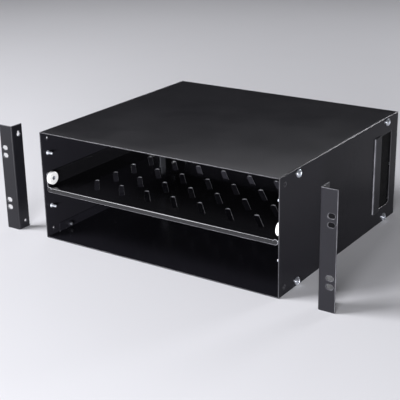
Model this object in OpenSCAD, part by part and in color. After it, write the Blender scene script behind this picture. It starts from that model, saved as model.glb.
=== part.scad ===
// Four-unit rack card cage: a sheet-steel case with an open front, a slotted shelf
// at mid height, brushed cable entries near the rear of both side walls, and a pair
// of loose rack mounting angles that stand beside it.
// Millimetres. Origin: centre of the case's footprint, on the surface it stands on.
// X runs to the right, Y to the rear, Z up.

/* [Case] */
// Width of the case across its side walls
case_w = 430; // [400:1:445]
// Depth of the case from its front edges to the rear panel's face
case_d = 390; // [340:1:500]
// Height of the case
case_h = 177; // [160:1:222]
// Thickness of the case sheets
sheet = 1.5; // [1.2:0.1:2]
// Inner radius of the folds in the case sheets
fold_in = 1.2; // [0.8:0.1:2]
// Gap left between two neighbouring sheets
seam = 0.2; // [0.1:0.05:0.3]

/* [Cover and tray flanges] */
// Height of the folded flanges along the sides of the cover and the tray
flange_h = 16; // [14:0.5:22]
// Distance from the front edge to the start of those flanges
flange_front = 28; // [24:1:36]
// Distance from the rear panel to the end of those flanges
flange_rear = 22; // [18:1:28]
// Corner radius of the folded flanges
flange_corner = 4; // [1:0.5:6]
// Width of the relief notch at each end of a fold
notch = 2; // [1:0.5:3]

/* [Side screws] */
// Thread diameter of the side screws
screw_d = 5; // [4:0.5:5]
// Head diameter of the side screws
screw_head_d = 12; // [9:0.5:13]
// Head height of the side screws
screw_head_h = 4.4; // [2.4:0.1:5]
// Distance from the front edge to the front side screws
screw_front = 52; // [44:1:70]
// Distance from the rear panel's face to the rear side screws
screw_rear = 43; // [36:1:60]
// Distance from the top or bottom edge to the side screws
screw_edge = 7.5; // [7:0.5:9]
// Length of screw that stands out behind its nut
screw_tip = 2; // [1:0.5:4]

/* [Clinch nuts and studs] */
// Body diameter of the clinch nuts
nut_d = 9; // [8:0.5:10]
// Height of the clinch nuts' bodies
nut_h = 3.6; // [2.5:0.1:5]
// Wall between a clinch nut's thread and the outside of its collar
nut_collar = 1.1; // [0.8:0.1:1.5]
// Head diameter of the studs pressed into the side walls
stud_head_d = 7; // [6:0.5:8]
// Thickness of wall left behind a pressed-in stud, so that it doesn't show outside
stud_skin = 0.5; // [0.3:0.1:0.8]
// Clearance between a thread and the hole it turns in
thread_gap = 0.05; // [0.03:0.01:0.1]
// Clearance round a screw or stud where it passes through a sheet
pass_gap = 0.25; // [0.15:0.05:0.4]

/* [Front side fittings] */
// Distance from the front edge to the row of fittings inside each side wall
fitting_front = 15; // [13:0.5:17]
// Distance from the top or bottom edge to the threaded inserts for the angles
insert_edge = 12.5; // [11:0.5:16]
// Thread diameter of those inserts
insert_thread_d = 4; // [3:0.5:5]
// Outer diameter of those inserts
insert_d = 6.6; // [6:0.1:9]
// Height by which they stand in from the side walls
insert_rise = 0.6; // [0.3:0.1:1.2]
// Height of the lower panel pin
pin_low = 51; // [40:0.5:60]
// Distance between the lower and the upper panel pin
pin_pitch = 88.9; // [80:0.1:95]
// Diameter of the panel pins
pin_d = 4; // [3:0.5:5]
// Length of panel pin that stands in from the side wall
pin_reach = 9; // [5:0.5:12]

/* [Shelf] */
// Height of the shelf's upper face
shelf_z = 85; // [78:0.5:95]
// Thickness of the shelf sheet
shelf_sheet = 1.5; // [1.2:0.1:2]
// Distance from the case's front edge to the shelf's front lip
shelf_front = 4.5; // [2:0.5:7]
// Distance from the rear panel's face to the shelf's rear lip
shelf_rear = 12; // [9:1:30]
// Gap between a side wall and the shelf's flange
shelf_gap = 0.3; // [0.2:0.05:0.5]
// Height of the shelf's side flanges above its upper face
shelf_flange_h = 24; // [20:1:28]
// Height of the shelf's front and rear lips
shelf_lip_h = 7.5; // [6:0.5:12]
// Corner radius of the shelf's lips and side flanges
shelf_corner = 5; // [2:0.5:6]
// Depth of the relief in the shelf's sides behind the flanges
relief_w = 30; // [24:1:36]
// Clearance between the relief and the brush beside it, along the depth
relief_gap = 5; // [3:1:8]

/* [Shelf slots] */
// Width of one slot
slot_w = 7.5; // [5:0.5:10]
// Length of one slot, end to end
slot_l = 50; // [36:1:54]
// Angle of the slots to the shelf's front edge
slot_angle = 50; // [30:5:60]
// Distance from one column of slots to the next
slot_pitch_x = 50; // [46:1:60]
// Distance from one row of slots to the next
slot_pitch_y = 48; // [46:1:60]
// Distance from the shelf's front lip to the middle of the first row
slot_first = 50; // [42:1:70]
// Least distance from a slot's end to the shelf's edge
slot_margin = 9; // [6:1:20]

/* [Shelf fixings] */
// Thread diameter of the shelf studs
shelf_stud_d = 5; // [4:0.5:5]
// Height of the shelf studs above the shelf's upper face
shelf_stud_up = 13.5; // [13:0.5:16]
// Distance from the front edge to the front shelf studs
shelf_stud_front = 16; // [14:0.5:20]
// Distance from the shelf flange's rear end to the rear shelf studs
shelf_stud_rear = 16; // [14:0.5:20]
// Diameter of the round thumb nuts
knob_d = 21; // [18:0.5:24]
// Thickness of the thumb nuts
knob_t = 6.2; // [5:0.1:8]
// Rounding of the thumb nuts' edges
knob_edge = 0.8; // [0.4:0.1:1.2]
// Diameter of the recess in a thumb nut's face
knob_recess_d = 6.4; // [6:0.1:8]
// Depth of the recess in a thumb nut's face
knob_recess = 1.6; // [1:0.1:2]

/* [Side cable entries] */
// Distance from the rear panel's face to the entry's rear edge
entry_rear = 24; // [22:1:40]
// Width of the entry along the depth
entry_w = 44; // [36:1:60]
// Height of the entry
entry_h = 124; // [90:1:130]
// Corner radius of the entry
entry_corner = 2; // [1:0.5:4]
// Width of the outer brush rail
rail_w = 22; // [18:1:26]
// Thickness of the outer brush rail
rail_t = 2.6; // [2:0.1:4]
// Height by which the rail passes the entry at each end
rail_over = 1.5; // [1:0.5:4]
// Width by which the rail covers the entry's front edge
rail_cover = 2; // [1:0.5:4]
// Chamfer of the rail's edges
rail_edge = 0.8; // [0.4:0.1:1.2]
// Width of the inner clamp bar
clamp_w = 16; // [14:1:18]
// Thickness of the inner clamp bar
clamp_t = 2; // [1.5:0.1:3]
// Corner radius of the inner clamp bar
clamp_corner = 2; // [1:0.5:4]
// Thickness of the bristle pack
bristle_t = 2; // [1.5:0.1:3]
// Width of one tuft of bristles
tuft_w = 3; // [2.5:0.1:5]
// Gap between two tufts
tuft_gap = 0.4; // [0.3:0.1:0.8]
// Length by which the bristles pass the entry's rear edge
tuft_over = 3; // [1:0.5:5]
// Thread diameter of the brush screws
brush_screw_d = 4; // [3:0.5:4]
// Head diameter of the brush screws
brush_head_d = 7; // [6:0.5:8]
// Head height of the brush screws
brush_head_h = 1.8; // [1.5:0.1:2.6]
// Distance from the rail's ends to the outer brush screws
brush_screw_end = 14; // [10:1:20]
// Thickness of rail left over the brush screws' blind holes
rail_skin = 0.6; // [0.4:0.1:0.8]
// Space left at the bottom of those blind holes
blind_gap = 0.3; // [0.1:0.1:0.5]

/* [Rear panel] */
// Width of the walls' rear flanges
rear_flange_w = 17; // [15:0.5:22]
// Distance from the case's side to the rear screws
rear_screw_side = 8.5; // [8:0.5:10]
// Distance from the top or bottom edge to the outer rear screws
rear_screw_end = 28; // [22:1:40]
// Thread diameter of the rear screws
rear_screw_d = 4; // [3:0.5:4]
// Head diameter of the rear screws
rear_head_d = 8; // [7:0.5:9]
// Head height of the rear screws
rear_head_h = 2.6; // [2:0.1:3.2]

/* [Mounting angles] */
// Width of a rack front across its mounting angles
rack_w = 482.6; // [480:0.1:485]
// Gap between the case and each loose angle beside it
angle_away = 60; // [30:1:90]
// Thickness of the angle sheet
angle_sheet = 2; // [1.5:0.1:2.5]
// Inner radius of the angles' fold
angle_fold_in = 1.5; // [1:0.1:2]
// Depth of the angles' side flange
angle_depth = 24; // [23:0.5:32]
// Distance from the angle's outer edge to its rack holes
rack_hole_edge = 8.75; // [8:0.05:9.5]
// Distance between the inner rack holes
rack_inner = 76.2; // [70:0.1:80]
// Distance between two neighbouring rack holes
rack_step = 12.7; // [12:0.1:14]
// Height of a rack hole
rack_hole_h = 7.4; // [6:0.1:8]
// Width of a rack hole
rack_hole_w = 10.6; // [8.5:0.1:11]
// Diameter of the plain hole in the side flange
angle_hole_d = 4.5; // [4.2:0.1:6]
// Diameter of the keyhole's round end
keyhole_d = 6.5; // [6:0.1:9]
// Width of the keyhole's narrow neck
keyhole_neck = 4.2; // [3:0.1:5]
// Drop from the end of the neck to the round end
keyhole_drop = 3.5; // [3:0.5:8]

/* [Hidden] */
$fn = 48;

// Powder-coated black, bright zinc, white moulding, bristle black
BLACK = [0.13, 0.13, 0.14];
ZINC = [0.78, 0.79, 0.80];
WHITE = [0.93, 0.93, 0.91];
BRISTLE = [0.05, 0.05, 0.05];

// A cut reaches this far past the face it opens
past = 1;

// Shares of a pan head: its dome's rise and its recess's length, width and floor
dome_share = 0.6;
recess_long = 0.52;
recess_wide = 0.12;
recess_floor = 0.45;

// Chamfer at a stud's free end, as a share of its diameter
stud_chamfer = 0.12;

// Planes that several pieces share
half_w = case_w / 2;
front = -case_d / 2;
rear = case_d / 2;
wall_in = half_w - sheet;
panel_in = rear - sheet;
fold_out = fold_in + sheet;

// Cover and tray, between the side walls
cover_half = wall_in - seam;
cover_flange_in = cover_half - sheet;
flange_y0 = front + flange_front;
flange_y1 = panel_in - flange_rear;
side_screw_y = [front + screw_front, rear - screw_rear];
side_screw_z = [screw_edge, case_h - screw_edge];
screw_hole_d = screw_d + 2 * pass_gap;
screw_len = half_w - cover_flange_in + nut_h + screw_tip;

// Fittings inside the side walls
stud_seat = sheet - stud_skin;
stud_play = 0.02;
fitting_y = front + fitting_front;
insert_z = [insert_edge, case_h - insert_edge];
pin_z = [pin_low, pin_low + pin_pitch];

// Side cable entry and its brush
entry_y1 = rear - entry_rear;
entry_y0 = entry_y1 - entry_w;
entry_z0 = (case_h - entry_h) / 2;
rail_y1 = entry_y0 + rail_cover;
rail_y0 = rail_y1 - rail_w;
rail_z0 = entry_z0 - rail_over;
rail_h = entry_h + 2 * rail_over;
clamp_y0 = entry_y0 - clamp_w;
bristle_in = wall_in - bristle_t;
clamp_in = bristle_in - clamp_t;
brush_screw_y = entry_y0 - clamp_w / 2;
brush_screw_z = [rail_z0 + brush_screw_end, case_h / 2, case_h - rail_z0 - brush_screw_end];
brush_bite = rail_t - rail_skin;
brush_hole_d = brush_screw_d + 2 * pass_gap;
brush_screw_len = half_w - clamp_in + brush_bite - blind_gap;

// Shelf
shelf_half = wall_in - shelf_gap;
shelf_flange_in = shelf_half - shelf_sheet;
shelf_out = fold_in + shelf_sheet;
shelf_y0 = front + shelf_front;
shelf_y1 = rear - shelf_rear;
shelf_flange_y1 = clamp_y0 - relief_gap;
shelf_under = shelf_z - shelf_sheet;
shelf_lip_flat = 0.5;
relief_half = shelf_half - relief_w;
shelf_stud_y = [front + shelf_stud_front, shelf_flange_y1 - shelf_stud_rear];
shelf_stud_z = shelf_z + shelf_stud_up;
shelf_stud_sink = 0.4;
shelf_stud_end = shelf_flange_in - knob_t + knob_recess - shelf_stud_sink;
shelf_stud_hole = shelf_stud_d + 2 * pass_gap;
slot_span_x = (slot_l - slot_w) * cos(slot_angle) + slot_w;
slot_span_y = (slot_l - slot_w) * sin(slot_angle) + slot_w;
slot_cols = floor((2 * (relief_half - slot_margin) - slot_span_x) / slot_pitch_x) + 1;
slot_y0 = shelf_y0 + slot_first;
slot_rows = floor((shelf_y1 - slot_margin - slot_span_y / 2 - slot_y0) / slot_pitch_y) + 1;

// Rear panel
rear_screw_x = half_w - rear_screw_side;
rear_screw_z = [rear_screw_end, case_h / 2, case_h - rear_screw_end];
rear_screw_len = 2 * sheet + nut_h + screw_tip;
rear_hole_d = rear_screw_d + 2 * pass_gap;
rear_fold_z = sheet + seam;

// Mounting angles
angle_w = (rack_w - case_w) / 2;
angle_x0 = half_w + angle_away;
angle_fold_out = angle_fold_in + angle_sheet;
rack_hole_x = angle_x0 + angle_w - rack_hole_edge;
rack_hole_z = [for (s = [-1, 1], k = [0, 1]) case_h / 2 + s * (rack_inner / 2 + k * rack_step)];
keyhole_z = case_h - insert_edge;
keyhole_end_z = keyhole_z - keyhole_drop;

// ---- shared forms ----

// A flat outline with four rounded corners, from its lower left corner
module rounded_rect(w, h, r) {
    translate([r, 0]) square([w - 2 * r, h]);
    translate([0, r]) square([w, h - 2 * r]);
    for (x = [r, w - r], y = [r, h - r]) translate([x, y]) circle(r);
}

// A flat outline whose two upper corners are rounded, from its lower left corner
module rounded_top(w, h, r) {
    square([w, h - r]);
    translate([r, 0]) square([w - 2 * r, h]);
    for (x = [r, w - r]) translate([x, h - r]) circle(r);
}

// A straight slot with round ends along X, about its middle
module slot_outline(l, w) {
    square([l - w, w], center = true);
    for (s = [-1, 1]) translate([s * (l - w) / 2, 0]) circle(w / 2);
}

// The section of a folded sheet: a quarter ring about the origin, in the +X +Y quadrant
module quarter_ring(inner, t) {
    outer = inner + t;
    intersection() {
        difference() {
            circle(outer);
            circle(inner);
        }
        square(outer);
    }
}

// A quarter fold along Y from y0 to y1: it joins a flat sheet that comes from -X at the
// bottom to a flange that rises on the +X side. Its centre line is at the origin.
module fold(y0, y1, inner, t) {
    translate([0, y1, 0])
        rotate([90, 0, 0])
            linear_extrude(y1 - y0)
                mirror([0, 1])
                    quarter_ring(inner, t);
}

// Puts a form drawn in the YZ plane and raised along +X from x = x0
module on_yz(x0) {
    translate([x0, 0, 0])
        rotate([90, 0, 90])
            children();
}

// A cylinder along X
module bar_x(x0, x1, y, z, d) {
    translate([x0, y, z])
        rotate([0, 90, 0])
            cylinder(h = x1 - x0, d = d);
}

// A screw with a domed head and a cross recess. Its head is seated on z = 0 and its
// thread points down.
module pan_screw(d, head_d, head_h, length) {
    rise = head_h * dome_share;
    dome = (head_d * head_d / 4 + rise * rise) / (2 * rise);
    recess_l = head_d * recess_long;
    recess_w = head_d * recess_wide;
    difference() {
        union() {
            rotate_extrude()
                intersection() {
                    square([head_d / 2, head_h]);
                    translate([0, head_h - dome]) circle(dome);
                }
            translate([0, 0, -length]) cylinder(h = length, d = d);
        }
        for (a = [0, 90])
            rotate(a)
                translate([-recess_l / 2, -recess_w / 2, head_h * recess_floor])
                    cube([recess_l, recess_w, head_h]);
    }
}

// A clinch nut: its collar fills a hole in a sheet of thickness t, its body stands on
// the sheet's far face. The sheet's near face is z = 0 and the body points up.
module clinch_nut(d, t) {
    difference() {
        union() {
            cylinder(h = t, d = d + 2 * nut_collar);
            translate([0, 0, t]) cylinder(h = nut_h, d = nut_d);
        }
        translate([0, 0, -past]) cylinder(h = t + nut_h + 2 * past, d = thread_hole(d));
    }
}

// A threaded insert of outer diameter d, pressed through a sheet of thickness t and
// standing a little proud of its far face. The sheet's near face is z = 0.
module threaded_insert(d, t) {
    difference() {
        cylinder(h = t + insert_rise, d = d);
        translate([0, 0, -past]) cylinder(h = t + insert_rise + 2 * past, d = thread_hole(insert_thread_d));
    }
}

// Diameter of the hole that takes a clinch nut's collar
function nut_hole(d) = d + 2 * nut_collar + 2 * stud_play;

// Diameter of a threaded hole round a screw or stud
function thread_hole(d) = d + 2 * thread_gap;

// A stud pressed into a side wall from inside, with a chamfered free end at x = x1
module wall_stud(x1, y, z, d) {
    edge = d * stud_chamfer;
    translate([wall_in + stud_seat - stud_play, y, z])
        rotate([0, -90, 0]) {
            cylinder(h = stud_seat - stud_play, d = stud_head_d);
            cylinder(h = wall_in + stud_seat - x1 - edge - stud_play, d = d);
            translate([0, 0, wall_in + stud_seat - x1 - edge - stud_play])
                cylinder(h = edge, d1 = d, d2 = d - 2 * edge);
        }
}

// ---- case sheets ----

// A cover sheet lying flat with its two side flanges turned up
module cover_sheet() {
    edge_x = cover_half - fold_out;
    spans = [[front, flange_y0 - notch], [flange_y1 + notch, panel_in]];
    translate([-edge_x, front, 0]) cube([2 * edge_x, panel_in - front, sheet]);
    for (s = [0, 1])
        mirror([s, 0, 0]) {
            for (y = spans)
                translate([edge_x, y[0], 0]) cube([fold_out, y[1] - y[0], sheet]);
            translate([edge_x, 0, fold_out]) fold(flange_y0, flange_y1, fold_in, sheet);
            difference() {
                on_yz(cover_flange_in)
                    linear_extrude(sheet)
                        translate([flange_y0, fold_out])
                            rounded_top(flange_y1 - flange_y0, flange_h - fold_out, flange_corner);
                for (y = side_screw_y)
                    bar_x(cover_flange_in - past, cover_half + past, y, screw_edge, nut_hole(screw_d));
            }
        }
}

module bottom_tray() {
    color(BLACK) cover_sheet();
}

module top_cover() {
    color(BLACK)
        translate([0, 0, case_h])
            mirror([0, 0, 1])
                cover_sheet();
}

// The right side wall: a flat plate with its rear edge folded in behind the panel
module side_wall() {
    difference() {
        union() {
            on_yz(wall_in)
                linear_extrude(sheet)
                    difference() {
                        translate([front, 0]) square([panel_in - fold_out - front, case_h]);
                        translate([entry_y0, entry_z0])
                            rounded_rect(entry_w, entry_h, entry_corner);
                    }
            for (z = [0, case_h - rear_fold_z])
                translate([wall_in, panel_in - fold_out, z]) cube([sheet, fold_out, rear_fold_z]);
            translate([half_w - fold_out, panel_in - fold_out, rear_fold_z])
                linear_extrude(case_h - 2 * rear_fold_z)
                    quarter_ring(fold_in, sheet);
            translate([half_w - rear_flange_w, panel_in - sheet, rear_fold_z])
                cube([rear_flange_w - fold_out, sheet, case_h - 2 * rear_fold_z]);
        }
        for (y = side_screw_y, z = side_screw_z)
            bar_x(wall_in - past, half_w + past, y, z, screw_hole_d);
        for (z = insert_z)
            bar_x(wall_in - past, half_w + past, fitting_y, z, insert_d + 2 * stud_play);
        for (z = pin_z)
            bar_x(wall_in - past, wall_in + stud_seat, fitting_y, z, stud_head_d + 2 * stud_play);
        for (y = shelf_stud_y)
            bar_x(wall_in - past, wall_in + stud_seat, y, shelf_stud_z, stud_head_d + 2 * stud_play);
        for (z = brush_screw_z)
            bar_x(wall_in - past, half_w + past, brush_screw_y, z, brush_hole_d);
        for (z = rear_screw_z)
            translate([rear_screw_x, panel_in + past, z])
                rotate([90, 0, 0])
                    cylinder(h = sheet + 2 * past, d = nut_hole(rear_screw_d));
    }
}

module right_side_wall() {
    color(BLACK) side_wall();
}

module left_side_wall() {
    color(BLACK) mirror([1, 0, 0]) side_wall();
}

module rear_panel() {
    color(BLACK)
        difference() {
            translate([-half_w, panel_in, 0]) cube([case_w, sheet, case_h]);
            for (s = [-1, 1], z = rear_screw_z)
                translate([s * rear_screw_x, rear + past, z])
                    rotate([90, 0, 0])
                        cylinder(h = sheet + 2 * past, d = rear_hole_d);
        }
}

// ---- shelf ----

// The shelf's flat outline between its folds, with the relieved rear corners
module shelf_outline() {
    fold_x = shelf_half - shelf_out;
    translate([-fold_x, shelf_y0 + shelf_out])
        square([2 * fold_x, shelf_flange_y1 - shelf_y0 - shelf_out]);
    translate([-relief_half, shelf_y0 + shelf_out])
        square([2 * relief_half, shelf_y1 - shelf_y0 - 2 * shelf_out]);
}

// All the slots, centred across the shelf
module slot_grid() {
    for (i = [0 : slot_cols - 1], j = [0 : slot_rows - 1])
        translate([(i - (slot_cols - 1) / 2) * slot_pitch_x, slot_y0 + j * slot_pitch_y])
            rotate(-slot_angle)
                slot_outline(slot_l, slot_w);
}

// A lip turned down along the shelf's front edge, reaching half_l to either side
module shelf_lip(half_l) {
    drop = shelf_lip_h - shelf_out;
    on_yz(-half_l)
        linear_extrude(2 * half_l)
            translate([shelf_out, shelf_z - shelf_out])
                mirror([1, 0])
                    quarter_ring(fold_in, shelf_sheet);
    translate([-half_l, shelf_sheet, shelf_z - shelf_out])
        rotate([90, 0, 0])
            linear_extrude(shelf_sheet)
                mirror([0, 1])
                    rounded_top(2 * half_l, drop, min(shelf_corner, drop - shelf_lip_flat));
}

module shelf() {
    lip_half = shelf_half - shelf_out;
    flange_l = shelf_flange_y1 - shelf_y0 - shelf_out;
    flange_up = shelf_flange_h + shelf_sheet - shelf_out;
    color(BLACK) {
        translate([0, 0, shelf_under])
            linear_extrude(shelf_sheet)
                difference() {
                    shelf_outline();
                    slot_grid();
                }
        for (s = [0, 1])
            mirror([s, 0, 0]) {
                translate([shelf_half - shelf_out, 0, shelf_under + shelf_out])
                    fold(shelf_y0 + shelf_out, shelf_flange_y1, fold_in, shelf_sheet);
                difference() {
                    on_yz(shelf_flange_in)
                        linear_extrude(shelf_sheet)
                            translate([shelf_y0 + shelf_out, shelf_under + shelf_out])
                                rounded_top(flange_l, flange_up, shelf_corner);
                    for (y = shelf_stud_y)
                        bar_x(shelf_flange_in - past, shelf_half + past,
                            y, shelf_stud_z, shelf_stud_hole);
                }
            }
        translate([0, shelf_y0, 0]) shelf_lip(lip_half);
        translate([0, shelf_y1, 0]) mirror([0, 1, 0]) shelf_lip(relief_half);
    }
}

// ---- fasteners and fittings, drawn on the right and mirrored to the left ----

module side_screws() {
    color(ZINC)
        for (y = side_screw_y, z = side_screw_z)
            translate([half_w, y, z])
                rotate([0, 90, 0])
                    pan_screw(screw_d, screw_head_d, screw_head_h, screw_len);
}

module tray_nuts() {
    color(BLACK)
        for (s = [0, 1], y = side_screw_y)
            mirror([s, 0, 0])
                translate([cover_half, y, screw_edge])
                    rotate([0, -90, 0])
                        clinch_nut(screw_d, sheet);
}

module cover_nuts() {
    translate([0, 0, case_h])
        mirror([0, 0, 1])
            tray_nuts();
}

module angle_inserts() {
    color(BLACK)
        for (z = insert_z)
            translate([half_w, fitting_y, z])
                rotate([0, -90, 0])
                    threaded_insert(insert_d, sheet);
}

module panel_pins() {
    color(ZINC)
        for (z = pin_z)
            wall_stud(wall_in - pin_reach, fitting_y, z, pin_d);
}

module shelf_studs() {
    color(ZINC)
        for (y = shelf_stud_y)
            wall_stud(shelf_stud_end, y, shelf_stud_z, shelf_stud_d);
}

// A round thumb nut, its back on z = 0, with rounded edges and a recessed face
module thumb_nut() {
    r = knob_d / 2;
    difference() {
        rotate_extrude() {
            square([r - knob_edge, knob_t]);
            translate([0, knob_edge]) square([r, knob_t - 2 * knob_edge]);
            for (z = [knob_edge, knob_t - knob_edge])
                translate([r - knob_edge, z]) circle(knob_edge);
        }
        translate([0, 0, -past]) cylinder(h = knob_t + 2 * past, d = thread_hole(shelf_stud_d));
        translate([0, 0, knob_t - knob_recess]) cylinder(h = knob_recess + past, d = knob_recess_d);
    }
}

module thumb_nuts() {
    color(WHITE)
        for (y = shelf_stud_y)
            translate([shelf_flange_in, y, shelf_stud_z])
                rotate([0, -90, 0])
                    thumb_nut();
}

// ---- side brushes ----

// The outer rail: a flat bar with chamfered edges, drilled from behind for the screws
module brush_rail() {
    profile = [
        [0, 0], [rail_w, 0], [rail_w, rail_t - rail_edge], [rail_w - rail_edge, rail_t],
        [rail_edge, rail_t], [0, rail_t - rail_edge]
    ];
    color(BLACK)
        difference() {
            translate([half_w, rail_y0, rail_z0])
                linear_extrude(rail_h)
                    polygon([for (p = profile) [p[1], p[0]]]);
            for (z = brush_screw_z)
                bar_x(half_w - past, half_w + brush_bite, brush_screw_y, z, thread_hole(brush_screw_d));
        }
}

// The bristle pack: a bound root along the clamp and tufts that reach over the entry
module bristles() {
    count = floor((rail_h + tuft_gap) / (tuft_w + tuft_gap));
    pitch = (rail_h + tuft_gap) / count;
    tuft_l = entry_y1 + tuft_over - entry_y0 + past;
    color(BRISTLE) {
        difference() {
            translate([bristle_in, clamp_y0, rail_z0]) cube([bristle_t, clamp_w, rail_h]);
            for (z = brush_screw_z)
                bar_x(bristle_in - past, wall_in + past, brush_screw_y, z, brush_hole_d);
        }
        for (k = [0 : count - 1])
            translate([bristle_in, entry_y0 - past, rail_z0 + k * pitch])
                cube([bristle_t, tuft_l, pitch - tuft_gap]);
    }
}

// The inner clamp bar that holds the bristle root against the wall
module clamp_bar() {
    color(ZINC)
        difference() {
            on_yz(clamp_in)
                linear_extrude(clamp_t)
                    translate([clamp_y0, rail_z0])
                        rounded_rect(clamp_w, rail_h, clamp_corner);
            for (z = brush_screw_z)
                bar_x(clamp_in - past, bristle_in + past, brush_screw_y, z, brush_hole_d);
        }
}

module brush_screws() {
    color(ZINC)
        for (z = brush_screw_z)
            translate([clamp_in, brush_screw_y, z])
                rotate([0, -90, 0])
                    pan_screw(brush_screw_d, brush_head_d, brush_head_h, brush_screw_len);
}

// ---- rear fasteners ----

module rear_panel_screws() {
    color(ZINC)
        for (s = [-1, 1], z = rear_screw_z)
            translate([s * rear_screw_x, rear, z])
                rotate([-90, 0, 0])
                    pan_screw(rear_screw_d, rear_head_d, rear_head_h, rear_screw_len);
}

module rear_nuts() {
    color(BLACK)
        for (z = rear_screw_z)
            translate([rear_screw_x, panel_in, z])
                rotate([90, 0, 0])
                    clinch_nut(rear_screw_d, sheet);
}

// ---- mounting angles ----

// The right angle: its side flange faces the case, its front flange takes the rack bolts
module mounting_angle() {
    side_y0 = front + angle_fold_out;
    side_y1 = front + angle_depth;
    front_x0 = angle_x0 + angle_fold_out;
    color(BLACK) {
        translate([0, front + angle_sheet, 0])
            rotate([90, 0, 0])
                linear_extrude(angle_sheet)
                    difference() {
                        translate([front_x0, 0]) square([angle_w - angle_fold_out, case_h]);
                        for (z = rack_hole_z)
                            translate([rack_hole_x, z]) slot_outline(rack_hole_w, rack_hole_h);
                    }
        translate([front_x0, side_y0, 0])
            linear_extrude(case_h)
                rotate(180)
                    quarter_ring(angle_fold_in, angle_sheet);
        on_yz(angle_x0)
            linear_extrude(angle_sheet)
                difference() {
                    translate([side_y0, 0]) square([side_y1 - side_y0, case_h]);
                    translate([fitting_y, insert_edge]) circle(d = angle_hole_d);
                    translate([fitting_y, keyhole_z]) circle(d = keyhole_neck);
                    translate([fitting_y - keyhole_neck / 2, keyhole_end_z])
                        square([keyhole_neck, keyhole_drop]);
                    translate([fitting_y, keyhole_end_z]) circle(d = keyhole_d);
                }
    }
}

module on_left() {
    mirror([1, 0, 0]) children();
}

top_cover();
bottom_tray();
left_side_wall();
right_side_wall();
rear_panel();
shelf();
on_left() side_screws();  // left_side_screws
side_screws();  // right_side_screws
cover_nuts();  // top_cover_nuts
tray_nuts();  // bottom_tray_nuts
on_left() angle_inserts();  // left_angle_inserts
angle_inserts();  // right_angle_inserts
on_left() panel_pins();  // left_panel_pins
panel_pins();  // right_panel_pins
on_left() shelf_studs();  // left_shelf_studs
shelf_studs();  // right_shelf_studs
on_left() thumb_nuts();  // left_thumb_nuts
thumb_nuts();  // right_thumb_nuts
on_left() brush_rail();  // left_brush_rail
brush_rail();  // right_brush_rail
on_left() bristles();  // left_bristles
bristles();  // right_bristles
on_left() clamp_bar();  // left_clamp_bar
clamp_bar();  // right_clamp_bar
on_left() brush_screws();  // left_brush_screws
brush_screws();  // right_brush_screws
rear_panel_screws();
on_left() rear_nuts();  // left_rear_nuts
rear_nuts();  // right_rear_nuts
on_left() mounting_angle();  // left_mounting_angle
mounting_angle();  // right_mounting_angle
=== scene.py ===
"""Looks for a four-unit rack card cage and its two loose angles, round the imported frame."""

import math
import random

import bmesh
import bpy
from bpy.props import FloatProperty, FloatVectorProperty, IntProperty, PointerProperty
from mathutils import Matrix, Vector
from mathutils.bvhtree import BVHTree


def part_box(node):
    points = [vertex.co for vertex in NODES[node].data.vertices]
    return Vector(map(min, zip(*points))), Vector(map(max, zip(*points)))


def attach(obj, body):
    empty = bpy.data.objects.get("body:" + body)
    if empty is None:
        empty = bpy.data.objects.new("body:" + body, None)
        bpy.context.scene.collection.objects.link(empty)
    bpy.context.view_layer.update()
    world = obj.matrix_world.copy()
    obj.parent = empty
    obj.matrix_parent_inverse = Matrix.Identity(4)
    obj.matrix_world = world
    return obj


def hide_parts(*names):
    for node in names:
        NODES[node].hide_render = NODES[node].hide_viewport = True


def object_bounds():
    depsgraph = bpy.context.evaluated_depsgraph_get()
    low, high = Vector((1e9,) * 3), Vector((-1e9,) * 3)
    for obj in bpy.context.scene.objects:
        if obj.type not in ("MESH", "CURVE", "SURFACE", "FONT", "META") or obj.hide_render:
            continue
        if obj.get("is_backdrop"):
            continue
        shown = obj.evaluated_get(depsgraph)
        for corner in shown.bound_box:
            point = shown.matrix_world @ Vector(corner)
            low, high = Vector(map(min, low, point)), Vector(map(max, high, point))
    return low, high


bl_info = {
    "name": "Rack Card Cage",
    "version": (1, 0, 0),
    "blender": (4, 5, 0),
    "location": "View3D > Sidebar > Card Cage",
    "description": "Finishes for a sheet-steel rack card cage and its mounting angles",
    "category": "Object",
}

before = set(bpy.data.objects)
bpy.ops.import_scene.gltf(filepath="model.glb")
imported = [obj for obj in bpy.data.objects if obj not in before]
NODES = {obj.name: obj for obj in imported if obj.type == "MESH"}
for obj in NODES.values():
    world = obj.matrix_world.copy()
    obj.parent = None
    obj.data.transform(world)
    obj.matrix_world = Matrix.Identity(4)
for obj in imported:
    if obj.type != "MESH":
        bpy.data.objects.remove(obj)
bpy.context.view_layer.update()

ROOT = "root"
SIDES = ("left", "right")
MM = 0.001
PREFIX = "card_cage"

# Vertices nearer than this are one, and a point this far outside a solid is proud
WELD = 1e-6
# Faces that meet at less than this angle are one flat face
FLAT = math.radians(0.6)
# Convex edges sharper than this are broken
SHARP = math.radians(40)
# Edges sharper than these stay sharp in the shading of solid pieces and of the brushes
CREASE = math.radians(50)
BRUSH_CREASE = math.radians(60)
# Least cosine of a face that looks along a direction, and of one that looks towards it; these
# choose the faces that take or lose the painted edge highlight
ALONG = 0.9
TOWARDS = 0.25
# Weight of the large faces in a piece's shading
FACE_WEIGHT = 90
# Radius within which a thumb nut's faces belong to its threaded bore, which takes painted shade
BORE = 3.3 * MM

# The Mix node's colour sockets: both inputs and the result
MIX_A, MIX_B, MIX_RESULT = 6, 7, 2

# Share of the bristle block that the bound root fills, and the root's broken edge
ROOT_SHARE = 0.98
ROOT_EDGE = 0.2 * MM
# A filament's share of thinning towards its tip
TAPER = 0.35
# Spread of the filaments: along the strip as a share of the pitch, the rest in millimetres
SPREAD_SHARE = 0.3
TIP_SWAY = 0.2
TIP_SHORT = 2.2
TIP_SPREAD = 0.5
BOW_SPREAD = 0.35

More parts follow.
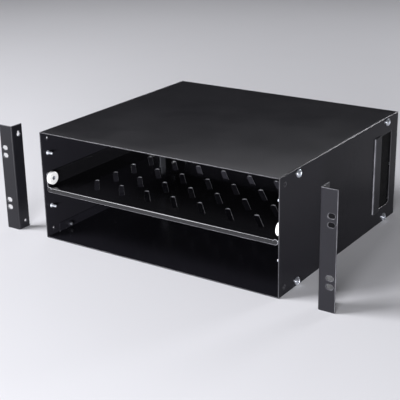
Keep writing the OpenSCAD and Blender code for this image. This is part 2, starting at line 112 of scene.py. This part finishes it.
# Each softbox: name, place and size in metres, power in watts
SOFTBOXES = (
    ("key_softbox", (-1.7, -1.4, 2.2), (1.4, 1.4), 95),
    ("rear_softbox", (-1.2, 1.9, 1.5), (1.8, 0.9), 5.6),
    ("front_softbox", (0.95, -2.3, 0.24), (0.9, 0.34), 120),
    ("rim_softbox", (0.95, 2.3, 1.3), (0.8, 0.2), 12),
)
LAMP_TINT = (0.95, 0.95, 1)
LAMP_AIM = (0, 0, 0.09)
ROOM_TINT = (0.96, 0.98, 1.0, 1)
FLOOR_REACH = 12
FLOOR_DROP = 0.1 * MM

# The camera's azimuth, elevation and roll in degrees, its place in metres and its lens
CAMERA_ANGLES = (34.37, 20.36, -1.13)
CAMERA_PLACE = (0.8307, -1.2838, 0.6117)
SENSOR_WIDTH = 36
LENS = 89.45
CLIP_RANGE = (0.05, 60)


# ---- settings ----

class CageFinish(bpy.types.PropertyGroup):
    """Colours of the cage's finishes"""

    case: FloatVectorProperty(
        name="Case Coating", description="Powder coating on the case sheets",
        subtype="COLOR", min=0, max=1, default=(0.0105, 0.0102, 0.0130))
    wall: FloatVectorProperty(
        name="Wall Coating", description="Powder coating on the side walls and the rear panel",
        subtype="COLOR", min=0, max=1, default=(0.0130, 0.0127, 0.0155))
    shelf: FloatVectorProperty(
        name="Shelf Coating", description="Powder coating on the shelf",
        subtype="COLOR", min=0, max=1, default=(0.0072, 0.0071, 0.0080))
    angle: FloatVectorProperty(
        name="Angle Coating", description="Powder coating on the mounting angles",
        subtype="COLOR", min=0, max=1, default=(0.0085, 0.0083, 0.0105))
    rail: FloatVectorProperty(
        name="Rail Coating", description="Finish of the outer brush rails",
        subtype="COLOR", min=0, max=1, default=(0.012, 0.012, 0.015))
    # Painted highlight: a lighter colour on the sheets' broken edges that stands in for the light
    # they catch
    edge: FloatVectorProperty(
        name="Edge Highlight", description="Thin coating along the sheets' cut edges",
        subtype="COLOR", min=0, max=1, default=(0.075, 0.075, 0.08))
    zinc: FloatVectorProperty(
        name="Zinc", description="Bright zinc plating on the screws, nuts and studs",
        subtype="COLOR", min=0, max=1, default=(0.74, 0.75, 0.77))
    moulding: FloatVectorProperty(
        name="Moulding", description="White moulding of the thumb nuts",
        subtype="COLOR", min=0, max=1, default=(0.84, 0.84, 0.81))
    bristle: FloatVectorProperty(
        name="Bristle", description="Nylon of the brush bristles",
        subtype="COLOR", min=0, max=1, default=(0.004, 0.004, 0.0045))


class CageEdges(bpy.types.PropertyGroup):
    """How far the sheets' and fasteners' edges are broken"""

    sheet: FloatProperty(
        name="Sheet Edge", description="Radius of a coated sheet's cut edges",
        unit="LENGTH", subtype="DISTANCE", min=0, max=0.7 * MM, default=0.6 * MM)
    fastener: FloatProperty(
        name="Fastener Edge", description="Radius of the fasteners' edges",
        unit="LENGTH", subtype="DISTANCE", min=0, max=0.3 * MM, default=0.14 * MM)
    steps: IntProperty(
        name="Edge Steps", description="Facets across a broken edge", min=1, max=4, default=2)


class CageBrush(bpy.types.PropertyGroup):
    """Bristles of the side cable entries"""

    pitch: FloatProperty(
        name="Filament Pitch", description="Distance from one filament to the next",
        unit="LENGTH", subtype="DISTANCE", min=0.4 * MM, max=3 * MM, default=0.8 * MM)
    rows: IntProperty(
        name="Filament Rows", description="Layers of filaments through the strip",
        min=1, max=6, default=4)
    diameter: FloatProperty(
        name="Filament Diameter", description="Diameter of one filament",
        unit="LENGTH", subtype="DISTANCE", min=0.1 * MM, max=1 * MM, default=0.5 * MM)
    seed: IntProperty(name="Seed", description="Seed of the filaments' spread", default=7)


class CageStage(bpy.types.PropertyGroup):
    """Floor, lamps and camera"""

    floor: FloatVectorProperty(
        name="Floor", description="Colour of the studio floor",
        subtype="COLOR", min=0, max=1, default=(0.80, 0.80, 0.81))
    world: FloatProperty(
        name="Room Light", description="Strength of the room's even light",
        min=0, max=2, default=0.025)
    lamps: FloatProperty(
        name="Lamp Level", description="Scales every softbox", min=0, max=4, default=1)


# ---- node helpers ----

def new_group(name, inputs, outputs):
    """A shader node group with named sockets; each entry is (name, type, default)."""
    group = bpy.data.node_groups.new(name, "ShaderNodeTree")
    for label, kind, value in inputs:
        socket = group.interface.new_socket(name=label, in_out="INPUT", socket_type=kind)
        socket.default_value = value
    for label, kind in outputs:
        group.interface.new_socket(name=label, in_out="OUTPUT", socket_type=kind)
    return group, group.nodes.new("NodeGroupInput"), group.nodes.new("NodeGroupOutput")


def noise(tree, scale, detail=2.0, stretch=(1, 1, 1), roughness=0.5):
    """Noise over the object's own space; returns the node, whose Scale may be linked."""
    coords = tree.nodes.new("ShaderNodeTexCoord")
    mapping = tree.nodes.new("ShaderNodeMapping")
    mapping.inputs["Scale"].default_value = stretch
    tex = tree.nodes.new("ShaderNodeTexNoise")
    tex.inputs["Scale"].default_value = scale
    tex.inputs["Detail"].default_value = detail
    tex.inputs["Roughness"].default_value = roughness
    tree.links.new(coords.outputs["Object"], mapping.inputs["Vector"])
    tree.links.new(mapping.outputs["Vector"], tex.inputs["Vector"])
    return tex


def math_node(tree, operation, a, b, clamp=False):
    """The output of a Math node whose inputs are numbers or sockets."""
    node = tree.nodes.new("ShaderNodeMath")
    node.operation = operation
    node.use_clamp = clamp
    for socket, value in zip(node.inputs, (a, b)):
        if isinstance(value, (int, float)):
            socket.default_value = value
        else:
            tree.links.new(value, socket)
    return node.outputs[0]


def varied(tree, base, spread, fac):
    """base plus spread times fac, where fac runs from -1 to 1."""
    return math_node(tree, "ADD", base, math_node(tree, "MULTIPLY", spread, fac))


def signed(tree, fac):
    """A noise value of 0 to 1 turned into -1 to 1."""
    return math_node(tree, "SUBTRACT", math_node(tree, "MULTIPLY", fac, 2.0), 1.0)


def scaled_colour(tree, colour, factor):
    """A colour socket times a value socket."""
    node = tree.nodes.new("ShaderNodeVectorMath")
    node.operation = "SCALE"
    tree.links.new(colour, node.inputs[0])
    tree.links.new(factor, node.inputs["Scale"])
    return node.outputs[0]


def mixed_colour(tree, fac, a, b):
    """A mix of two colours, each a socket or a constant."""
    node = tree.nodes.new("ShaderNodeMix")
    node.data_type = "RGBA"
    tree.links.new(fac, node.inputs["Factor"])
    for socket, value in ((node.inputs[MIX_A], a), (node.inputs[MIX_B], b)):
        if hasattr(value, "links"):
            tree.links.new(value, socket)
        else:
            socket.default_value = value
    return node.outputs[MIX_RESULT]


def coating_group():
    """Powder coating: a fine orange peel, with slow drifts of tone and gloss."""
    group, inputs, outputs = new_group(
        "powder_coating",
        [("Colour", "NodeSocketColor", (0.02, 0.02, 0.02, 1)),
         ("Tone Spread", "NodeSocketFloat", 0.12),
         ("Roughness", "NodeSocketFloat", 0.35),
         ("Gloss Spread", "NodeSocketFloat", 0.05),
         ("Peel Scale", "NodeSocketFloat", 700.0),
         ("Drift Scale", "NodeSocketFloat", 14.0)],
        [("Colour", "NodeSocketColor"),
         ("Roughness", "NodeSocketFloat"),
         ("Height", "NodeSocketFloat")])
    peel = noise(group, 700.0, 3.0, roughness=0.55)
    speck = noise(group, 2400.0, 1.0)
    drift = noise(group, 14.0, 3.0, roughness=0.6)
    group.links.new(inputs.outputs["Peel Scale"], peel.inputs["Scale"])
    group.links.new(inputs.outputs["Drift Scale"], drift.inputs["Scale"])
    slow = signed(group, drift.outputs["Fac"])
    fine = signed(group, speck.outputs["Fac"])
    tone = varied(group, varied(group, 1.0, inputs.outputs["Tone Spread"], slow), 0.10, fine)
    gloss = varied(group, inputs.outputs["Roughness"], inputs.outputs["Gloss Spread"], slow)
    gloss = varied(group, gloss, 0.03, fine)
    group.links.new(scaled_colour(group, inputs.outputs["Colour"], tone), outputs.inputs["Colour"])
    group.links.new(gloss, outputs.inputs["Roughness"])
    group.links.new(peel.outputs["Fac"], outputs.inputs["Height"])
    return group


def painted_highlight_group():
    """Painted edge highlight: a patchy change from the coating to a lighter tone that stands in for
    the light caught on the edges.
    """
    group, inputs, outputs = new_group(
        "painted_edge_highlight",
        [("Colour", "NodeSocketColor", (0.02, 0.02, 0.02, 1)),
         ("Highlight", "NodeSocketColor", (0.1, 0.1, 0.1, 1)),
         ("Patch Scale", "NodeSocketFloat", 45.0),
         ("Amount", "NodeSocketFloat", 0.5)],
        [("Colour", "NodeSocketColor"), ("Mask", "NodeSocketFloat")])
    patch = noise(group, 45.0, 4.0, roughness=0.65)
    group.links.new(inputs.outputs["Patch Scale"], patch.inputs["Scale"])
    mask = math_node(
        group, "ADD", inputs.outputs["Amount"], signed(group, patch.outputs["Fac"]), clamp=True)
    group.links.new(
        mixed_colour(group, mask, inputs.outputs["Colour"], inputs.outputs["Highlight"]),
        outputs.inputs["Colour"])
    group.links.new(mask, outputs.inputs["Mask"])
    return group


def plating_group():
    """Bright zinc plating: fine turning marks under soft bluish and warm clouds."""
    group, inputs, outputs = new_group(
        "zinc_plating",
        [("Colour", "NodeSocketColor", (0.7, 0.7, 0.7, 1)),
         ("Tint", "NodeSocketColor", (0.62, 0.66, 0.74, 1)),
         ("Roughness", "NodeSocketFloat", 0.24),
         ("Spread", "NodeSocketFloat", 0.08)],
        [("Colour", "NodeSocketColor"),
         ("Roughness", "NodeSocketFloat"),
         ("Height", "NodeSocketFloat")])
    cloud = noise(group, 260.0, 2.0)
    mark = noise(group, 3200.0, 2.0, stretch=(1, 0.25, 0.25))
    fine = signed(group, mark.outputs["Fac"])
    group.links.new(
        mixed_colour(group, cloud.outputs["Fac"], inputs.outputs["Colour"], inputs.outputs["Tint"]),
        outputs.inputs["Colour"])
    group.links.new(
        varied(group, inputs.outputs["Roughness"], inputs.outputs["Spread"], fine),
        outputs.inputs["Roughness"])
    group.links.new(mark.outputs["Fac"], outputs.inputs["Height"])
    return group


def shader(name, metallic=0.0, specular=0.5):
    """A material with a Principled shader whose constant values are set on its own sockets."""
    material = bpy.data.materials.new(name)
    material.use_nodes = True
    bsdf = material.node_tree.nodes["Principled BSDF"]
    bsdf.inputs["Metallic"].default_value = metallic
    bsdf.inputs["Specular IOR Level"].default_value = specular
    return material, material.node_tree, bsdf


def place_group(tree, group, values):
    """A node group in a material, with constants on its own sockets."""
    node = tree.nodes.new("ShaderNodeGroup")
    node.node_tree = group
    for label, value in values.items():
        node.inputs[label].default_value = value
    return node


def add_bump(tree, bsdf, height, depth):
    """Surface relief from a height of 0 to 1, depth metres deep."""
    bump = tree.nodes.new("ShaderNodeBump")
    bump.inputs["Distance"].default_value = depth
    tree.links.new(height, bump.inputs["Height"])
    tree.links.new(bump.outputs["Normal"], bsdf.inputs["Normal"])


def rgba(colour):
    return (*colour, 1.0)


def times(colour, factor):
    """A constant colour made lighter or darker."""
    return tuple(c * factor for c in colour)


def coated(name, colour, roughness, peel=700.0, depth=0.012 * MM, specular=0.5):
    """A powder-coated sheet's face."""
    material, tree, bsdf = shader(name, specular=specular)
    grain = place_group(tree, bpy.data.node_groups["powder_coating"], {
        "Colour": rgba(colour), "Roughness": roughness, "Peel Scale": peel})
    tree.links.new(grain.outputs["Colour"], bsdf.inputs["Base Color"])
    tree.links.new(grain.outputs["Roughness"], bsdf.inputs["Roughness"])
    add_bump(tree, bsdf, grain.outputs["Height"], depth)
    return material


def edge_with_painted_highlight(name, colour, highlight_colour, roughness, amount=0.5, specular=0.6):
    """The same coating with a painted highlight over a sheet's cut edge."""
    material, tree, bsdf = shader(name, specular=specular)
    grain = place_group(tree, bpy.data.node_groups["powder_coating"], {
        "Colour": rgba(colour), "Roughness": roughness})
    highlight_node = place_group(tree, bpy.data.node_groups["painted_edge_highlight"], {
        "Highlight": rgba(highlight_colour), "Amount": amount})
    tree.links.new(grain.outputs["Colour"], highlight_node.inputs["Colour"])
    tree.links.new(highlight_node.outputs["Colour"], bsdf.inputs["Base Color"])
    tree.links.new(grain.outputs["Roughness"], bsdf.inputs["Roughness"])
    return material


def plated(name, colour, roughness, metallic=0.85):
    """Zinc plate, or zinc darkened into painted shade."""
    material, tree, bsdf = shader(name, metallic=metallic)
    plate = place_group(tree, bpy.data.node_groups["zinc_plating"], {
        "Colour": rgba(colour), "Roughness": roughness})
    tree.links.new(plate.outputs["Colour"], bsdf.inputs["Base Color"])
    tree.links.new(plate.outputs["Roughness"], bsdf.inputs["Roughness"])
    add_bump(tree, bsdf, plate.outputs["Height"], 0.004 * MM)
    return material


def moulded(name, colour):
    """White thermoplastic with a faint mottle and a soft sheen."""
    material, tree, bsdf = shader(name, specular=0.45)
    mottle = noise(tree, 320.0, 3.0)
    skin = noise(tree, 2600.0, 2.0)
    tree.links.new(
        mixed_colour(tree, mottle.outputs["Fac"], rgba(colour), rgba(times(colour, 0.86))),
        bsdf.inputs["Base Color"])
    tree.links.new(
        varied(tree, 0.42, 0.08, signed(tree, skin.outputs["Fac"])), bsdf.inputs["Roughness"])
    add_bump(tree, bsdf, skin.outputs["Fac"], 0.01 * MM)
    return material


def fibrous(name, colour):
    """Black nylon, streaked along the filaments, which run front to back."""
    material, tree, bsdf = shader(name, specular=0.15)
    streak = noise(tree, 1100.0, 3.0, stretch=(1, 0.06, 1))
    tree.links.new(
        mixed_colour(tree, streak.outputs["Fac"], rgba(colour), rgba(times(colour, 2.6))),
        bsdf.inputs["Base Color"])
    tree.links.new(
        varied(tree, 0.7, 0.12, signed(tree, streak.outputs["Fac"])), bsdf.inputs["Roughness"])
    add_bump(tree, bsdf, streak.outputs["Fac"], 0.02 * MM)
    return material


# ---- mesh helpers ----

def add_piece(name, mesh, slot, materials, *replaced):
    """Links a finished mesh as a piece that rides on the root body."""
    piece = bpy.data.objects.new(name, mesh)
    bpy.context.scene.collection.objects.link(piece)
    for material in materials:
        mesh.materials.append(bpy.data.materials[material])
    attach(piece, ROOT)
    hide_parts(*replaced)
    return piece


def softened(name, node, slot, materials, radius, steps, no_highlight_box=None, cut=None, highlight_facing=None):
    """A node's form with its sharp convex edges broken, so that they catch the light.

    The second material, where there is one, is the coating with a painted highlight, and the
    broken edges take it. They keep the first inside the given box, where no highlight is painted,
    and where they don't look towards the given facing. Whole faces that look along the given cut
    take the painted highlight too.
    """
    bm = bmesh.new()
    bm.from_mesh(NODES[node].data)
    bmesh.ops.remove_doubles(bm, verts=bm.verts, dist=WELD)
    for face in bm.faces:
        face.material_index = 0
    bmesh.ops.dissolve_limit(
        bm, angle_limit=FLAT, verts=bm.verts, edges=bm.edges, delimit=set())
    edges = [e for e in bm.edges
             if len(e.link_faces) == 2 and e.is_convex and e.calc_face_angle() > SHARP]
    whole = BVHTree.FromBMesh(bm)
    bmesh.ops.bevel(
        bm, geom=edges, offset=radius, offset_type="OFFSET", segments=steps, profile=0.5,
        affect="EDGES", clamp_overlap=False, material=1 if len(materials) > 1 else 0)
    for vert in bm.verts:
        nearest, normal, _, distance = whole.find_nearest(vert.co)
        if distance > radius or (vert.co - nearest).dot(normal) > WELD:
            vert.co = nearest
    # No painted highlight on the faces inside this box
    if no_highlight_box:
        low, high = no_highlight_box
        for face in bm.faces:
            middle = face.calc_center_median()
            if all(low[k] < middle[k] < high[k] for k in range(3)):
                face.material_index = 0
    bmesh.ops.recalc_face_normals(bm, faces=bm.faces)
    # Faces that look along the cut direction take the painted highlight; faces that don't look
    # towards the facing direction keep the plain coating
    for face in bm.faces:
        if cut and face.normal.dot(cut) > ALONG:
            face.material_index = 1
        if highlight_facing and face.normal.dot(highlight_facing) < TOWARDS:
            face.material_index = 0
    bmesh.ops.triangulate(bm, faces=[f for f in bm.faces if len(f.verts) > 4])
    mesh = bpy.data.meshes.new(name)
    bm.to_mesh(mesh)
    bm.free()
    mesh.shade_smooth()
    mesh.set_sharp_from_angle(angle=CREASE)
    piece = add_piece(name, mesh, slot, materials, node)
    weigh = piece.modifiers.new("Face Weights", "WEIGHTED_NORMAL")
    weigh.keep_sharp = True
    weigh.weight = FACE_WEIGHT
    return piece


def filament(bm, start, end, sag, radius, sides=4, steps=4):
    """A thin round bar from start to end, bowed sideways by sag."""
    rings = []
    for k in range(steps + 1):
        t = k / steps
        middle = start.lerp(end, t) + sag * (t * t)
        thin = radius * (1 - TAPER * t)
        rings.append([
            bm.verts.new(middle + Vector((thin * math.cos(a), 0, thin * math.sin(a))))
            for a in (2 * math.pi * j / sides for j in range(sides))])
    for low, high in zip(rings, rings[1:]):
        for j in range(sides):
            bm.faces.new((low[j], low[(j + 1) % sides], high[(j + 1) % sides], high[j]))
    bm.faces.new(rings[-1][::-1])
    bm.faces.new(rings[0])


# ---- operators ----

class CAGE_OT_materials(bpy.types.Operator):
    """Make the finishes of the cage"""

    bl_idname = PREFIX + ".materials"
    bl_label = "Make Finishes"

    def execute(self, context):
        finish = context.scene.cage_finish
        coating_group()
        painted_highlight_group()
        plating_group()
        coated("case_coating", finish.case, 0.17, depth=0.004 * MM, specular=0.2)
        coated("wall_coating", finish.wall, 0.2, depth=0.004 * MM, specular=0.05)
        coated("rear_coating", times(finish.wall, 1.4), 0.24, depth=0.005 * MM, specular=0.3)
        coated("shelf_coating", finish.shelf, 0.08, depth=0.002 * MM, specular=0.6)
        coated("angle_coating", finish.angle, 0.3, depth=0.008 * MM, specular=0.32)
        coated("rail_coating", finish.rail, 0.36, peel=900.0, specular=0.12)
        # Edge materials: the coating with a painted highlight, lightest on the shelf, then the rail
        # and the angles
        edge_with_painted_highlight("case_highlighted_edge", finish.case, finish.edge, 0.18)
        edge_with_painted_highlight("shelf_highlighted_edge", finish.shelf, times(finish.edge, 3.5), 0.2, amount=0.75)
        edge_with_painted_highlight("angle_highlighted_edge", finish.angle, times(finish.edge, 2), 0.22, amount=0.55)
        edge_with_painted_highlight("rail_edge", finish.rail, times(finish.edge, 2.6), 0.3, amount=0.8)
        plated("zinc_bright", finish.zinc, 0.28, metallic=0.92)
        plated("zinc_satin", finish.zinc, 0.5, metallic=0.7)
        plated("zinc_dull", times(finish.zinc, 0.8), 0.38)
        # Painted shade: zinc darkened to a tenth, for the shelf studs and the knobs' bores, which
        # sit in shade
        plated("bore_painted_shade", times(finish.zinc, 0.1), 0.5)
        moulded("thumb_nut_white", finish.moulding)
        fibrous("bristle_nylon", finish.bristle)
        return {"FINISHED"}


class CAGE_OT_case_sheets(bpy.types.Operator):
    """Build the cover, tray, side walls and rear panel with broken edges"""

    bl_idname = PREFIX + ".case_sheets"
    bl_label = "Build Case Sheets"

    def execute(self, context):
        edges = context.scene.cage_edges
        names = ["top_cover", "bottom_tray", "rear_panel"] + [f"{s}_side_wall" for s in SIDES]
        low, high = Vector(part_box("bottom_tray")[0]), Vector(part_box("top_cover")[1])
        inset = Vector((0.2, 3, 3)) * MM
        coatings = {
            "top_cover": "case_coating",
            "bottom_tray": "case_coating",
            "rear_panel": "rear_coating",
        }
        # Each sheet's edges take the painted highlight, except inside the box just within the case
        for name in names:
            softened(
                name + "_sheet", name, "case_black",
                [coatings.get(name, "wall_coating"), "case_highlighted_edge"],
                edges.sheet, edges.steps, no_highlight_box=(low + inset, high - inset))
        return {"FINISHED"}


class CAGE_OT_shelf(bpy.types.Operator):
    """Build the slotted shelf with broken edges"""

    bl_idname = PREFIX + ".shelf"
    bl_label = "Build Shelf"

    def execute(self, context):
        edges = context.scene.cage_edges
        low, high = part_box("shelf")
        above_plate = Vector((low.x - MM, low.y + 6 * MM, high.z - 20 * MM))
        # The shelf's edges take the painted highlight only where they look to the front, and none
        # within the box above_plate
        softened(
            "slotted_shelf", "shelf", "shelf_black", ["shelf_coating", "shelf_highlighted_edge"],
            edges.sheet, edges.steps, no_highlight_box=(above_plate, high + Vector((1, 1, 1)) * MM),
            highlight_facing=Vector((0, -1, 0)))
        return {"FINISHED"}


class CAGE_OT_mounting_angles(bpy.types.Operator):
    """Build the two loose mounting angles with broken edges"""

    bl_idname = PREFIX + ".mounting_angles"
    bl_label = "Build Mounting Angles"

    def execute(self, context):
        edges = context.scene.cage_edges
        for side in SIDES:
            # The angles' edges take the painted highlight
            softened(
                f"{side}_rack_angle", f"{side}_mounting_angle", "angle_black",
                ["angle_coating", "angle_highlighted_edge"], edges.sheet, edges.steps)
        return {"FINISHED"}


class CAGE_OT_side_brushes(bpy.types.Operator):
    """Build the brush rails, clamp bars and filaments of the side cable entries"""

    bl_idname = PREFIX + ".side_brushes"
    bl_label = "Build Side Brushes"

    def execute(self, context):
        edges = context.scene.cage_edges
        brush = context.scene.cage_brush
        for side in SIDES:
            # The rail's edges and its front-facing faces take the painted highlight
            softened(
                f"{side}_rail", f"{side}_brush_rail", "rail_black",
                ["rail_coating", "rail_edge"], edges.fastener, edges.steps,
                cut=Vector((0, -1, 0)))
            softened(
                f"{side}_clamp", f"{side}_clamp_bar", "zinc", ["zinc_dull"],
                edges.fastener, edges.steps)
            self.bristles(side, brush)
        return {"FINISHED"}

    def bristles(self, side, brush):
        """One side's bound root and its loose filaments."""
        low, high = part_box(f"{side}_bristles")
        clamp_low, clamp_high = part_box(f"{side}_clamp_bar")
        random.seed(brush.seed + SIDES.index(side))
        bm = bmesh.new()
        root_size = Vector((high.x - low.x, clamp_high.y - low.y, high.z - low.z)) * ROOT_SHARE
        middle = Vector((
            (low.x + high.x) / 2, (low.y + clamp_high.y) / 2, (low.z + high.z) / 2))
        root = bmesh.ops.create_cube(bm, matrix=Matrix.LocRotScale(middle, None, root_size))
        bmesh.ops.bevel(
            bm, geom=list({e for v in root["verts"] for e in v.link_edges}),
            offset=ROOT_EDGE, segments=1, profile=0.5, affect="EDGES")
        count = int((high.z - low.z) / brush.pitch)
        pitch = (high.z - low.z) / count
        depth = high.x - low.x
        radius = brush.diameter / 2
        for row in range(brush.rows):
            for k in range(count):
                z = low.z + (k + 0.5 + random.uniform(-SPREAD_SHARE, SPREAD_SHARE)) * pitch
                x = low.x + radius + (depth - 2 * radius) * (row + 0.5) / brush.rows
                start = Vector((x, clamp_high.y - MM, z))
                end = Vector((
                    x + random.uniform(-TIP_SWAY, TIP_SWAY) * MM,
                    high.y - random.uniform(0, TIP_SHORT) * MM,
                    min(max(z + random.gauss(0, TIP_SPREAD) * MM, low.z + radius),
                        high.z - radius)))
                bow = Vector((0, 0, random.gauss(0, BOW_SPREAD) * MM))
                if not low.z + radius < end.z + bow.z < high.z - radius:
                    bow = Vector()
                filament(bm, start, end, bow, radius)
        mesh = bpy.data.meshes.new(f"{side}_brush_strip")
        bm.to_mesh(mesh)
        bm.free()
        mesh.shade_smooth()
        mesh.set_sharp_from_angle(angle=BRUSH_CREASE)
        add_piece(
            f"{side}_brush_strip", mesh, "bristle", ["bristle_nylon"], f"{side}_bristles")


class CAGE_OT_fasteners(bpy.types.Operator):
    """Build the zinc screws and pins, the studs in painted shade, the coated nuts and the knobs
    with broken edges
    """

    bl_idname = PREFIX + ".fasteners"
    bl_label = "Build Fasteners"

    def execute(self, context):
        edges = context.scene.cage_edges
        screws = [f"{side}_{kind}" for side in SIDES for kind in ("side_screws", "brush_screws")]
        for name in screws + ["rear_panel_screws"]:
            softened(
                name + "_plated", name, "zinc", ["zinc_bright"], edges.fastener, edges.steps)
        for side in SIDES:
            softened(
                f"{side}_panel_pins_plated", f"{side}_panel_pins", "zinc", ["zinc_satin"],
                edges.fastener, edges.steps)
            # The shelf studs take painted shade, as dark as the knobs' bores around their ends
            softened(
                f"{side}_shelf_studs_shaded", f"{side}_shelf_studs", "zinc", ["bore_painted_shade"],
                edges.fastener, edges.steps)
        nuts = [f"{side}_{kind}" for side in SIDES for kind in ("angle_inserts", "rear_nuts")]
        # The coated nuts' edges take the painted highlight
        for name in nuts + ["top_cover_nuts", "bottom_tray_nuts"]:
            softened(
                name + "_coated", name, "case_black", ["case_coating", "case_highlighted_edge"],
                edges.fastener, edges.steps)
        for side in SIDES:
            knobs = softened(
                f"{side}_knobs", f"{side}_thumb_nuts", "white_moulding", ["thumb_nut_white"],
                edges.fastener, edges.steps)
            self.shade_bores(knobs, *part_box(f"{side}_thumb_nuts"))
        return {"FINISHED"}

    def shade_bores(self, knobs, low, high):
        """Paints shade into the threaded bores of the two knobs, whose axes run along X."""
        knobs.data.materials.append(bpy.data.materials["bore_painted_shade"])
        radius = (high.z - low.z) / 2
        axes = [(y, low.z + radius) for y in (low.y + radius, high.y - radius)]
        for face in knobs.data.polygons:
            _, y, z = face.center
            if min(math.hypot(y - axis[0], z - axis[1]) for axis in axes) < BORE:
                face.material_index = 1


class CAGE_OT_stage(bpy.types.Operator):
    """Set out the floor, the softboxes and the camera"""

    bl_idname = PREFIX + ".stage"
    bl_label = "Build Stage"

    def execute(self, context):
        settings = context.scene.cage_stage
        self.floor(settings)
        self.lights(context.scene, settings)
        self.camera(context.scene)
        context.scene.view_settings.view_transform = "Standard"
        return {"FINISHED"}

    def floor(self, settings):
        """A wide paper floor just under the part."""
        low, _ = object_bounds()
        mesh = bpy.data.meshes.new("studio_floor")
        bm = bmesh.new()
        bmesh.ops.create_grid(bm, x_segments=8, y_segments=8, size=FLOOR_REACH)
        bm.to_mesh(mesh)
        bm.free()
        floor = bpy.data.objects.new("studio_floor", mesh)
        floor.location = (0, 0, low.z - FLOOR_DROP)
        bpy.context.scene.collection.objects.link(floor)
        material, tree, bsdf = shader("studio_paper", specular=0.2)
        tone = noise(tree, 3.0, 2.0)
        shade = rgba(times(settings.floor, 0.97))
        tree.links.new(
            mixed_colour(tree, tone.outputs["Fac"], rgba(settings.floor), shade),
            bsdf.inputs["Base Color"])
        bsdf.inputs["Roughness"].default_value = 0.7
        mesh.materials.append(material)
        floor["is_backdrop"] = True

    def lights(self, scene, settings):
        """The room's even light and the softboxes, all turned to the part."""
        world = bpy.data.worlds.new("studio_room")
        world.use_nodes = True
        room = world.node_tree.nodes["Background"]
        room.inputs["Color"].default_value = ROOM_TINT
        room.inputs["Strength"].default_value = settings.world
        scene.world = world
        for name, place, size, power in SOFTBOXES:
            data = bpy.data.lights.new(name, "AREA")
            data.shape = "RECTANGLE"
            data.size, data.size_y = size
            data.energy = power * settings.lamps
            data.color = LAMP_TINT
            lamp = bpy.data.objects.new(name, data)
            lamp.location = place
            lamp.rotation_mode = "QUATERNION"
            sight = Vector(LAMP_AIM) - Vector(place)
            lamp.rotation_quaternion = sight.to_track_quat("-Z", "Y")
            scene.collection.objects.link(lamp)

    def camera(self, scene):
        """The camera, from its azimuth, elevation and roll round the part."""
        azimuth, elevation, roll = (math.radians(a) for a in CAMERA_ANGLES)
        data = bpy.data.cameras.new("studio_camera")
        data.sensor_width = SENSOR_WIDTH
        data.lens = LENS
        data.clip_start, data.clip_end = CLIP_RANGE
        back = Vector((
            math.sin(azimuth) * math.cos(elevation),
            -math.cos(azimuth) * math.cos(elevation),
            math.sin(elevation)))
        right = Vector((math.cos(azimuth), math.sin(azimuth), 0))
        up = back.cross(right)
        turned = right * math.cos(roll) + up * math.sin(roll)
        rise = back.cross(turned)
        camera = bpy.data.objects.new("studio_camera", data)
        camera.matrix_world = (
            Matrix.Translation(CAMERA_PLACE)
            @ Matrix((turned, rise, back)).transposed().to_4x4())
        scene.collection.objects.link(camera)
        scene.camera = camera


class CAGE_PT_panel(bpy.types.Panel):
    """Card cage builders and their settings"""

    bl_idname = "CAGE_PT_panel"
    bl_label = "Card Cage"
    bl_space_type = "VIEW_3D"
    bl_region_type = "UI"
    bl_category = "Card Cage"

    def draw(self, context):
        for group in ("cage_finish", "cage_edges", "cage_brush", "cage_stage"):
            settings = getattr(context.scene, group)
            box = self.layout.box()
            for name in settings.__annotations__:
                box.prop(settings, name)
        for operator in OPERATORS:
            self.layout.operator(operator.bl_idname)


OPERATORS = (
    CAGE_OT_materials, CAGE_OT_case_sheets, CAGE_OT_shelf, CAGE_OT_mounting_angles,
    CAGE_OT_side_brushes, CAGE_OT_fasteners, CAGE_OT_stage)
SETTINGS = {
    "cage_finish": CageFinish, "cage_edges": CageEdges,
    "cage_brush": CageBrush, "cage_stage": CageStage}


def register():
    for cls in (*SETTINGS.values(), *OPERATORS, CAGE_PT_panel):
        bpy.utils.register_class(cls)
    for name, cls in SETTINGS.items():
        setattr(bpy.types.Scene, name, PointerProperty(type=cls))


def unregister():
    for name in SETTINGS:
        delattr(bpy.types.Scene, name)
    for cls in reversed((*SETTINGS.values(), *OPERATORS, CAGE_PT_panel)):
        bpy.utils.unregister_class(cls)


def main():
    register()
    for operator in OPERATORS:
        group, name = operator.bl_idname.split(".")
        getattr(getattr(bpy.ops, group), name)()


if __name__ == "__main__":
    main()
